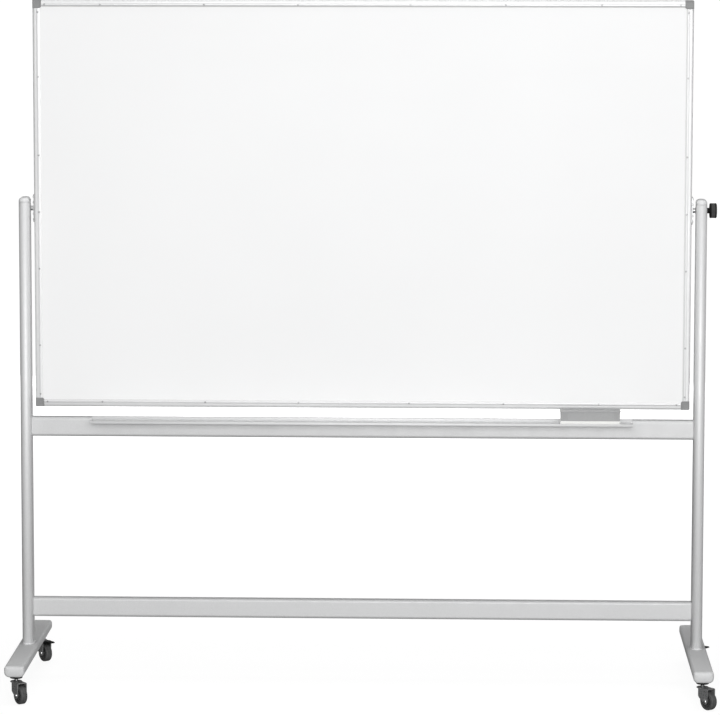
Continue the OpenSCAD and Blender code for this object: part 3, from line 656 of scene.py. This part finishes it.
def foot_ring(d, n=9):
    """Foot section d inside its surface: first axis up, second across; tight upper edges, full lower ones."""
    h, w = 15.5 - d, 27.5 - d
    rt, rb = max(0.25, 8.0 - d), max(0.25, 14.0 - d)
    return (arc(h - rt, w - rt, rt, 0, 90, n) + arc(-h + rb, w - rb, rb, 90, 180, n)
            + arc(-h + rb, -w + rb, rb, 180, 270, n) + arc(h - rt, -w + rt, rt, 270, 360, n))


for side, i in (("left", -1), ("right", 1)):
    m = basis((i * POST_X, 0, FOOT_MID), (0, 1, 0), (0, 0, 1))
    prof = [(2.0, -TUBE_HALF), (0.8, -TUBE_HALF), (0.0, -TUBE_HALF + 0.8), (0.0, TUBE_HALF - 0.8), (0.8, TUBE_HALF), (2.0, TUBE_HALF)]
    b = Build().loft([[(x, y, z) for x, y in foot_ring(d)] for d, z in prof], m, loop=True)
    b.obj("foot_" + side, "stand", "silver_paint", MAT["foot"], [side + "_foot"], sharp=50, weighted=False)

b = Build()
for i in (-1, 1):
    for s in (-1, 1):
        prof = [(2.05, -14.0), (2.05, -0.02), (0.8, 0.02), (0.0, 0.8), (0.0, 3.6)]
        prof += [(7.6 * (1 - math.cos(PI / 2 * k / 10)), 3.6 + 7.6 * math.sin(PI / 2 * k / 10)) for k in range(1, 11)]
        prof += [(9.5, 11.55), (12.0, 11.85), (14.6, 12.0)]
        b.loft([[(x, y, z) for x, y in foot_ring(d)] for d, z in prof], basis((i * POST_X, s * TUBE_HALF, FOOT_MID), (0, s, 0), (0, 0, 1)))
b.obj("foot_caps", "stand", "silver_plastic", MAT["cap"], ["foot_end_caps"], sharp=50)

b = Build()
for i in (-1, 1):
    for s in (-1, 1):
        head(b, basis((i * POST_X, s * 15, FOOT_Z), (0, 0, -1)), 6.8, 4.0, "hex", 3.4, 2.4, 4.0, 56)
b.obj("foot_bolt_set", "stand", "screw_steel", MAT["screw"], ["post_foot_bolts"], sharp=40, weighted=False)


# ---------------------------------------------------------------- tray and eraser
def tray():
    """Extruded shelf: back flange on the beam, ribbed floor, rolled front lip."""
    f = TRAY_FLOOR
    o = []
    o += [(-15.05, f - 14), (-15.05, f + 8.0)] + arc(-16.0, f + 7.6, 0.95, 20, 160, 5)
    o += [(-17.0, f + 2.4)] + [(-17.0 - 2.4 * (1 - math.cos(a)), f + 2.4 * (1 - math.sin(a))) for a in [PI / 2 * k / 4 for k in range(1, 5)]]
    for y in (-27.0, -36.0, -45.0, -54.0, -63.0):
        o += [(y + 0.9, f), (y + 0.45, f - 0.45), (y - 0.45, f - 0.45), (y - 0.9, f)]
    o += [(-71.6 - 1.4 * math.sin(a), f + 1.4 * (1 - math.cos(a))) for a in [PI / 2 * k / 4 for k in range(0, 5)]]
    o += arc(-74.0, f + 2.1, 1.0, 0, 180, 8)
    o += [(-75.0, f - 2.6)] + arc(-74.1, f - 2.7, 0.9, 180, 350, 6) + [(-73.1, f - 2.2), (-72.6, f - 2.0)]
    o += [(-19.0, f - 2.0), (-18.2, f - 2.15), (-17.35, f - 2.7), (-17.0, f - 3.6), (-17.0, f - 13.4), (-16.6, f - 14)]
    ring = lambda x, d: [(x, y, z) for y, z in inset(o[::-1] if area(o) < 0 else o, d)]
    b = Build().loft([ring(-TRAY_HALF, 0.25), ring(-TRAY_HALF + 0.3, 0.0), ring(TRAY_HALF - 0.3, 0.0), ring(TRAY_HALF, 0.25)])
    return b.obj("tray", "stand", "tray_aluminium", MAT["tray"], ["pen_tray"], sharp=40, weighted=False)


def area(o):
    return sum(o[i - 1][0] * o[i][1] - o[i][0] * o[i - 1][1] for i in range(len(o))) / 2


tray()
b = Build()
for k, fx in enumerate((-0.46, -0.276, -0.092, 0.092, 0.276, 0.46)):
    a = 0.4 + 0.9 * k
    head(b, basis((fx * 1486, -17, TRAY_FLOOR - 8), (0, -1, 0), (math.cos(a), 0, math.sin(a))), 3.6, 2.2, "cross", 2.2, 0.9, 2.0, 10)
b.obj("tray_screw_set", "stand", "screw_steel", MAT["screw"], ["tray_screws"], sharp=40, weighted=False)


def ribbed(w, h, r, depth, ends=18.0, pitch=3.2):
    """Rounded rectangle whose long sides carry upright grip grooves near both ends."""
    pts = []
    hw, hh = w / 2, h / 2
    n = int((w - 2 * r) / 0.8)
    def dip(x):
        q = hw - r - abs(x)
        if 2.0 < q < ends:
            return depth * max(0.0, math.sin(2 * PI * (q - 2.0) / pitch)) ** 0.7
        return 0.0
    pts += arc(hw - r, -hh + r, r, -90, 0, 5) + arc(hw - r, hh - r, r, 0, 90, 5)
    for k in range(1, n):
        x = (hw - r) - (w - 2 * r) * k / n
        pts.append((x, hh - dip(x)))
    pts += arc(-hw + r, hh - r, r, 90, 180, 5) + arc(-hw + r, -hh + r, r, 180, 270, 5)
    for k in range(1, n):
        x = -(hw - r) + (w - 2 * r) * k / n
        pts.append((x, -hh + dip(x)))
    return pts


def eraser():
    m = Matrix.Translation((ER_X, ER_Y, TRAY_FLOOR + 10))
    L, W = 162.0, 40.0
    rib = ribbed(L, W, 3.0, 0.7, 15.0, 3.0)
    flat = ribbed(L, W, 3.0, 0.0)
    def ring(d, z, t=0.0):
        sx, sy = (L - 2 * d) / L, (W - 2 * d) / W
        return [((a[0] * (1 - t) + c[0] * t) * sx, (a[1] * (1 - t) + c[1] * t) * sy, z) for a, c in zip(flat, rib)]
    rings = [ring(1.6, 0.0), ring(0.9, 0.2), ring(0.6, 0.9), ring(0.5, 2.0, 0.4), ring(0.45, 3.0, 1.0), ring(0.0, 22.2, 1.0), ring(0.0, 23.4, 0.5), ring(0.0, 24.2), ring(0.0, 24.8), ring(-0.3, 25.05),
             ring(-1.1, 25.15), ring(-1.42, 25.45), ring(-1.5, 26.0), ring(-1.5, 27.2), ring(-1.3, 27.7), ring(-0.8, 28.0), ring(2.4, 28.0), ring(2.8, 27.75), ring(8.0, 27.75)]
    o = Build().loft(rings, m).obj("eraser_grip", "eraser", "eraser_plastic", MAT["eraser"], ["eraser_body"], sharp=45)
    # felt: a pressed pad of layers, sides pulled in a little between its edges
    w, h, t = 164.0, 41.0, 10.0
    nz = 10
    src = ribbed(w, h, 3.0, 0.0)
    rings = []
    for k in range(nz + 1):
        q = k / nz
        z = t * q
        belly = 0.55 * math.sin(PI * q) ** 0.6 - 0.45
        layer = -0.22 * (1 if k % 2 else 0)
        d = -(belly + layer)
        if k in (0, nz):
            d = 0.9
        ring = []
        for x, y in src:
            jit = 0.16 * math.sin(x * 1.9 + k * 2.1) * math.sin(x * 0.47 + y * 0.9 + k)
            sx, sy = (w - 2 * (d + jit)) / w, (h - 2 * (d + jit)) / h
            ring.append((x * sx, y * sy, z))
        rings.append(ring)
    f = Build().loft(rings, Matrix.Translation((ER_X, ER_Y, TRAY_FLOOR))).obj("eraser_pad", "eraser", "eraser_felt", MAT["felt"], ["eraser_felt"], sharp=60, weighted=False)


eraser()


# ---------------------------------------------------------------- casters
def fork(b, T, brake):
    """Pressed fork: round swivel head over one bent sheet, half round at the rear, with two cheeks sweeping down to the axle."""
    c, w0, thick = 3.9, 14.5, 2.5
    top = FORK_TOP
    def zlow(u):
        if u <= 15.4:
            return 40.0 + (22.35 - 40.0) * (u + 10.6) / 26.0
        if u <= 32.6:
            return 25.0 - math.sqrt(max(0.0, 81 - (u - 24) ** 2))
        return 22.7 + (46.0 - 22.7) * min(1.0, (u - 32.6) / 1.4)
    def half(r, u):
        return r if u >= c else math.sqrt(max(0.0, r * r - (u - c) ** 2))
    def sect(u):
        zl, w, wi, ti = zlow(u), max(0.6, half(w0, u)), half(w0 - thick, u), top - thick
        R = min(4.2, max(0.3, w - 0.25))
        ch = 0.5 if wi > 3.0 else 0.12
        out = [(w - ch, zl), (w, zl + ch), (w, top - R)] + arc(w - R, top - R, R, 0, 90, 6)[1:] + arc(-w + R, top - R, R, 90, 180, 6) + [(-w, zl + ch), (-w + ch, zl)]
        if wi < 0.3:
            k = min(0.25, w * 0.4)
            inner = [(-k, zl), (-k * 0.95, zl + 0.005)] + [(-k * 0.9 + 1.8 * k * j / 9, zl + 0.01) for j in range(10)] + [(k * 0.95, zl + 0.005), (k, zl)]
        else:
            Ri = min(1.8, wi - 0.05)
            inner = [(-wi - ch, zl), (-wi, zl + ch)] + arc(-wi + Ri, ti - Ri, Ri, 180, 90, 4) + arc(wi - Ri, ti - Ri, Ri, 90, 0, 4) + [(wi, zl + ch), (wi + ch, zl)]
        return [(u, n, z) for n, z in out + inner]
    us = [c - w0 * math.cos(math.radians(t)) for t in (0, 5, 10, 15, 20, 25, 30)]
    us += [c - (w0 - thick) - 0.02, c - (w0 - thick) + 0.02]
    us += [c - w0 * math.cos(math.radians(t)) for t in (36, 42, 48, 54, 60, 66, 72, 78, 84, 90)]
    us += [8, 12, 15.4, 16.2, 17.4, 18.0]
    if not brake:
        us += [19.5, 21, 22.5, 24, 25.5, 27, 28.5, 30, 31.2, 32.0, 32.6, 33.2, 34.0]
    b.loft([sect(u) for u in sorted(us)], T)
    if brake:
        o = [(17.6, FORK_TOP - 1.2), (17.6, zlow(17.6))]
        o += [(u, zlow(u)) for u in (18.6, 19.8, 21, 22.5, 24, 25.5, 27, 28.5, 30, 31.2, 32.0, 32.6)]
        o += [(34.0, 46.0)] + arc(30.4, 55.8, 3.6, 0, 90, 5) + [(24.0, FORK_TOP - 0.1)]
        if area(o) < 0:
            o = o[::-1]
        for s in (-1, 1):
            rot = Matrix(((1, 0, 0, 0), (0, 0, -1, 0), (0, 1, 0, 0), (0, 0, 0, 1)))
            z0, z1 = (12.0, 14.5) if s > 0 else (-14.5, -12.0)
            b.prism(o, z0, z1, T @ rot, 0.5, n=2)
    b.lathe([(5.05, 59.0), (5.05, 59.8), (9.5, 59.8), (10.2, 59.75), (14.6, 59.72), (15.6, 59.4), (16.3, 58.6), (16.5, 57.8), (16.2, 57.1), (15.4, 56.9), (11.0, 56.9)], T, 48, closed=True)


def hub(b, T):
    """Moulded wheel centre with a dished web, ribs and a rim."""
    a, w, r = 4.05, 9.5, 17.45
    half = [(a, 10.5), (6.2, 10.5), (6.8, 10.2), (7.0, 9.6), (7.0, 6.4), (7.6, 5.9), (14.2, 5.9), (14.9, 6.3), (15.1, 8.0), (15.4, 8.5), (r - 0.4, 8.5), (r, 8.1)]
    prof = half + [(q, -z) for q, z in half[::-1]]
    b.lathe(prof, T, 60, closed=True)
    for k in range(8):
        t = 2 * PI * k / 8
        m = T @ Matrix.Rotation(t, 4, "Z")
        for s in (-1, 1):
            o = rrect(8.0, 1.8, 0.5, 2)
            z0, z1 = (5.4, 7.9) if s > 0 else (-7.9, -5.4)
            b.prism(o, z0, z1, m @ Matrix.Translation((11.0, 0, 0)), 0.4, n=2)


def tyre(b, T):
    """Rubber tread with rounded shoulders, two shallow grooves and a raised ring on each flank."""
    R, w, q, ri = WHEEL_R, 9.5, 4.0, 17.5
    half = [(ri, 0.0), (ri, w - 0.5), (ri + 0.4, w - 0.1), (18.5, w), (18.8, w - 0.15), (19.1, w - 0.9), (20.0, w - 0.9), (20.3, w - 0.15), (20.6, w)]
    half += [(R - q + q * math.sin(a), w - q + q * math.cos(a)) for a in [PI / 2 * k / 7 for k in range(0, 8)]]
    half += [(R, 4.1), (R - 0.55, 3.8), (R - 0.55, 3.0), (R, 2.7), (R, 0.0)]
    prof = half + [(r_, -z) for r_, z in half[::-1] if z > 1e-6]
    b.lathe(prof, T, 72, closed=True)


def pedal(b, T):
    """Foot lever on its pin: thick at the pivot, flattening and narrowing to a lip, with grip ribs across the top."""
    secs = [(-4.35, -0.6, 0.6, 10.2), (-4.0, -1.9, 1.9, 11.0), (-3.0, -3.2, 3.2, 11.4), (-1.5, -4.1, 4.1, 11.5), (0.0, -4.4, 4.4, 11.5), (3.0, -3.1, 4.7, 11.5), (8.0, -2.0, 5.1, 11.4),
            (13.0, -0.9, 5.6, 11.2), (19.0, 0.5, 6.0, 10.9), (26.0, 1.6, 6.4, 10.5), (32.0, 2.5, 6.75, 9.9), (35.0, 2.95, 6.8, 9.0), (36.6, 3.5, 6.4, 7.8), (37.4, 4.3, 5.4, 6.4)]
    rings = []
    for u, z0, z1, w in secs:
        h = z1 - z0
        r = min(1.3, h * 0.42)
        rings.append([(u, x, (z0 + z1) / 2 + y) for x, y in rrect(2 * w, h, r, 4)])
    b.loft(rings, T)
    for k in range(5):
        u = 19.5 + 3.1 * k
        w = 10.4 - 0.16 * (u - 19)
        z = 5.95 + 0.06 * (u - 19)
        o = rrect(1.5, 2 * w - 2.4, 0.6, 3)
        b.prism(o, z - 0.6, z + 0.55, T @ Matrix.Translation((u, 0, 0)), 0.3, n=2)
    rot = Matrix(((1, 0, 0, 0), (0, 0, -1, 0), (0, 1, 0, 0), (0, 0, 0, 1)))
    b.lathe([(0, -14.3), (1.6, -14.3), (2.0, -13.9), (2.0, 13.9), (1.6, 14.3), (0, 14.3)], T @ rot, 24)


collars, stems = Build(), Build()
for nm, (i, s, turn) in CASTERS.items():
    K = Matrix.Translation((i * POST_X, s * KING_Y, 0))
    T = K @ Matrix.Rotation(math.radians(turn), 4, "Z")
    brake = s > 0
    collars.lathe([(5.1, 67.4), (15.0, 67.4), (16.2, 67.65), (16.95, 68.2), (17.2, 69.0), (17.3, 73.4), (17.9, 73.9), (18.35, 74.3), (18.5, 74.8), (18.5, 76.4), (18.1, 77.0), (5.1, 77.0)], K, 56, closed=True)
    stems.lathe([(0, 53.2), (6.6, 53.2), (7.3, 53.6), (7.5, 54.4), (7.5, 56.7), (5.0, 56.7), (5.0, 59.85), (5.8, 59.85), (6.0, 60.1), (6.0, 60.9), (5.7, 61.2), (5.2, 61.4), (5.0, 61.8), (5.0, 67.6), (5.3, 68.3), (5.9, 69.0), (5.0, 69.0), (5.0, 101.0), (4.4, 101.6), (0, 101.6)], K, 48)
    b = Build()
    fork(b, T, brake)
    b.obj(nm + "_housing", nm + "_caster", "fork_steel", MAT["fork"], [nm + "_fork"], sharp=38)
    ax = T @ basis((TRAIL, 0, WHEEL_R), (0, 1, 0))
    b = Build()
    b.lathe([(0, -17.5), (2.6, -17.45), (4.4, -17.1), (5.6, -16.3), (6.1, -15.3), (6.2, -14.55), (4.0, -14.5), (4.0, 14.5), (6.2, 14.55), (6.1, 15.3), (5.6, 16.3), (4.4, 17.1), (2.6, 17.45), (0, 17.5)], ax, 40)
    b.obj(nm + "_pin", nm + "_caster", "bright_steel", MAT["bright"], [nm + "_axle"], sharp=45)
    b = Build()
    hub(b, ax)
    b.obj(nm + "_centre", nm + "_wheel", "hub_plastic", MAT["hub"], [nm + "_hub"], sharp=40)
    b = Build()
    tyre(b, ax)
    b.obj(nm + "_tread", nm + "_wheel", "tyre_rubber", MAT["tyre"], [nm + "_tyre"], sharp=45)
    if brake:
        b = Build()
        pedal(b, T @ Matrix.Translation((TRAIL + 3, 0, 54.5)))
        b.obj(nm + "_lever", nm + "_pedal", "black_plastic", MAT["black"], [nm + "_brake_pedal"], sharp=45)
collars.obj("collars", "stand", "black_plastic", MAT["black"], ["caster_collars"])
stems.obj("stems", "stand", "bright_steel", MAT["stem"], ["caster_stems"], sharp=40)


# ---------------------------------------------------------------- stage, light and camera
def stage_disc(name, radius, z, mat, seg=96):
    me = bpy.data.meshes.new(name)
    bm = bmesh.new()
    bmesh.ops.create_circle(bm, cap_ends=True, radius=radius, segments=seg)
    bm.to_mesh(me)
    bm.free()
    o = bpy.data.objects.new(name, me)
    o.location = (0, 0, z)
    bpy.context.scene.collection.objects.link(o)
    me.materials.append(mat)
    return o


m, nt, p = shader("pale_floor", 0.9, 0.0, 0.0)
p.inputs["Base Color"].default_value = (0.15, 0.15, 0.15, 1)
p.inputs["Emission Color"].default_value = (1, 1, 1, 1)
# painted light: the floor glows a little less within 1.2 m of the origin and fully beyond 3.2 m, which keeps the far
# floor, out of the lamps' reach, as bright as the lit floor near the stand
far = nt.nodes.new("ShaderNodeVectorMath")
far.operation = "LENGTH"
nt.links.new(place(nt), far.inputs[0])
nt.links.new(remap(nt, far.outputs["Value"], 0.90, 1.0, 1.2, 3.2), p.inputs["Emission Strength"])
floor = stage_disc("floor", 120.0, 0.0, m)
floor.visible_diffuse = False
floor.visible_glossy = False

m, nt, p = shader("pale_backdrop", 1.0, 0.0, 0.0)
p.inputs["Base Color"].default_value = (0, 0, 0, 1)
p.inputs["Emission Color"].default_value = (1, 1, 1, 1)
p.inputs["Emission Strength"].default_value = 1.0
me = bpy.data.meshes.new("backdrop")
bm = bmesh.new()
bmesh.ops.create_uvsphere(bm, u_segments=48, v_segments=24, radius=100.0)
bm.to_mesh(me)
bm.free()
dome = bpy.data.objects.new("backdrop", me)
bpy.context.scene.collection.objects.link(dome)
me.materials.append(m)
for f in ("visible_diffuse", "visible_glossy", "visible_transmission", "visible_volume_scatter", "visible_shadow"):
    setattr(dome, f, False)

scene = bpy.context.scene
scene.view_settings.view_transform = "Standard"
scene.view_settings.look = "None"
scene.view_settings.exposure = 0.0

world = bpy.data.worlds.new("studio")
scene.world = world
world.use_nodes = True
nt = world.node_tree
nt.nodes.clear()
out = nt.nodes.new("ShaderNodeOutputWorld")
bg = nt.nodes.new("ShaderNodeBackground")
nt.links.new(bg.outputs[0], out.inputs[0])
tc = nt.nodes.new("ShaderNodeTexCoord")
sep = nt.nodes.new("ShaderNodeSeparateXYZ")
nt.links.new(tc.outputs["Generated"], sep.inputs[0])


def wmath(op, a, b=None):
    n = nt.nodes.new("ShaderNodeMath")
    n.operation = op
    for k, v in enumerate((a, b)):
        if v is None:
            continue
        if isinstance(v, (int, float)):
            n.inputs[k].default_value = v
        else:
            nt.links.new(v, n.inputs[k])
    return n.outputs[0]


up = wmath("MAXIMUM", sep.outputs["Z"], 0.0)
fr = wmath("MAXIMUM", wmath("MULTIPLY", sep.outputs["Y"], -1.0), 0.0)
rt = wmath("MAXIMUM", sep.outputs["X"], 0.0)
bk = wmath("MAXIMUM", sep.outputs["Y"], 0.0)
low = wmath("MAXIMUM", wmath("MULTIPLY", sep.outputs["Z"], -1.0), 0.0)
val = wmath("ADD", 0.08, wmath("MULTIPLY", up, 0.04))
val = wmath("ADD", val, wmath("MULTIPLY", wmath("POWER", fr, 2.0), 0.62))
val = wmath("ADD", val, wmath("MULTIPLY", rt, 0.20))
val = wmath("ADD", val, wmath("MULTIPLY", wmath("POWER", bk, 2.0), 0.16))
val = wmath("SUBTRACT", val, wmath("MULTIPLY", low, 0.08))
nt.links.new(val, bg.inputs["Strength"])
bg.inputs["Color"].default_value = (1, 1, 1, 1)


def softbox(name, loc, target, w, h, power):
    l = bpy.data.lights.new(name, "AREA")
    l.shape, l.size, l.size_y, l.energy = "RECTANGLE", w, h, power
    o = bpy.data.objects.new(name, l)
    bpy.context.scene.collection.objects.link(o)
    o.location = loc
    o.rotation_mode = "QUATERNION"
    o.rotation_quaternion = (Vector(target) - Vector(loc)).to_track_quat("-Z", "Y")
    return o


softbox("key", (0.8, -5.8, 1.8), (0.15, 0, 1.0), 3.2, 2.6, 193)
softbox("fill", (-3.0, -6.0, 1.6), (-0.2, 0, 1.0), 2.4, 2.6, 30)
softbox("top", (0.0, -0.7, 5.6), (0, -0.2, 0.5), 4.2, 2.0, 92)
rim = softbox("back", (0.3, 6.5, 1.05), (0, 0, 1.3), 5.0, 1.9, 350)
rim.visible_glossy = False
rim.visible_camera = False

cam_data = bpy.data.cameras.new("camera")
cam = bpy.data.objects.new("camera", cam_data)
scene.collection.objects.link(cam)
cam.matrix_world = (Matrix.Translation((0.28707, -9.48570, 2.10185)) @ Matrix.Rotation(0.03494280, 4, "Z")
                    @ Matrix.Rotation(1.46262888, 4, "X") @ Matrix.Rotation(0.00099321, 4, "Z"))
cam_data.sensor_width = 36.0
cam_data.lens = 3476.48 * 36.0 / 720.0
cam_data.shift_x = 0.0199190
cam_data.shift_y = -0.08
cam_data.clip_start, cam_data.clip_end = 0.1, 600.0
scene.camera = cam

bpy.context.view_layer.update()
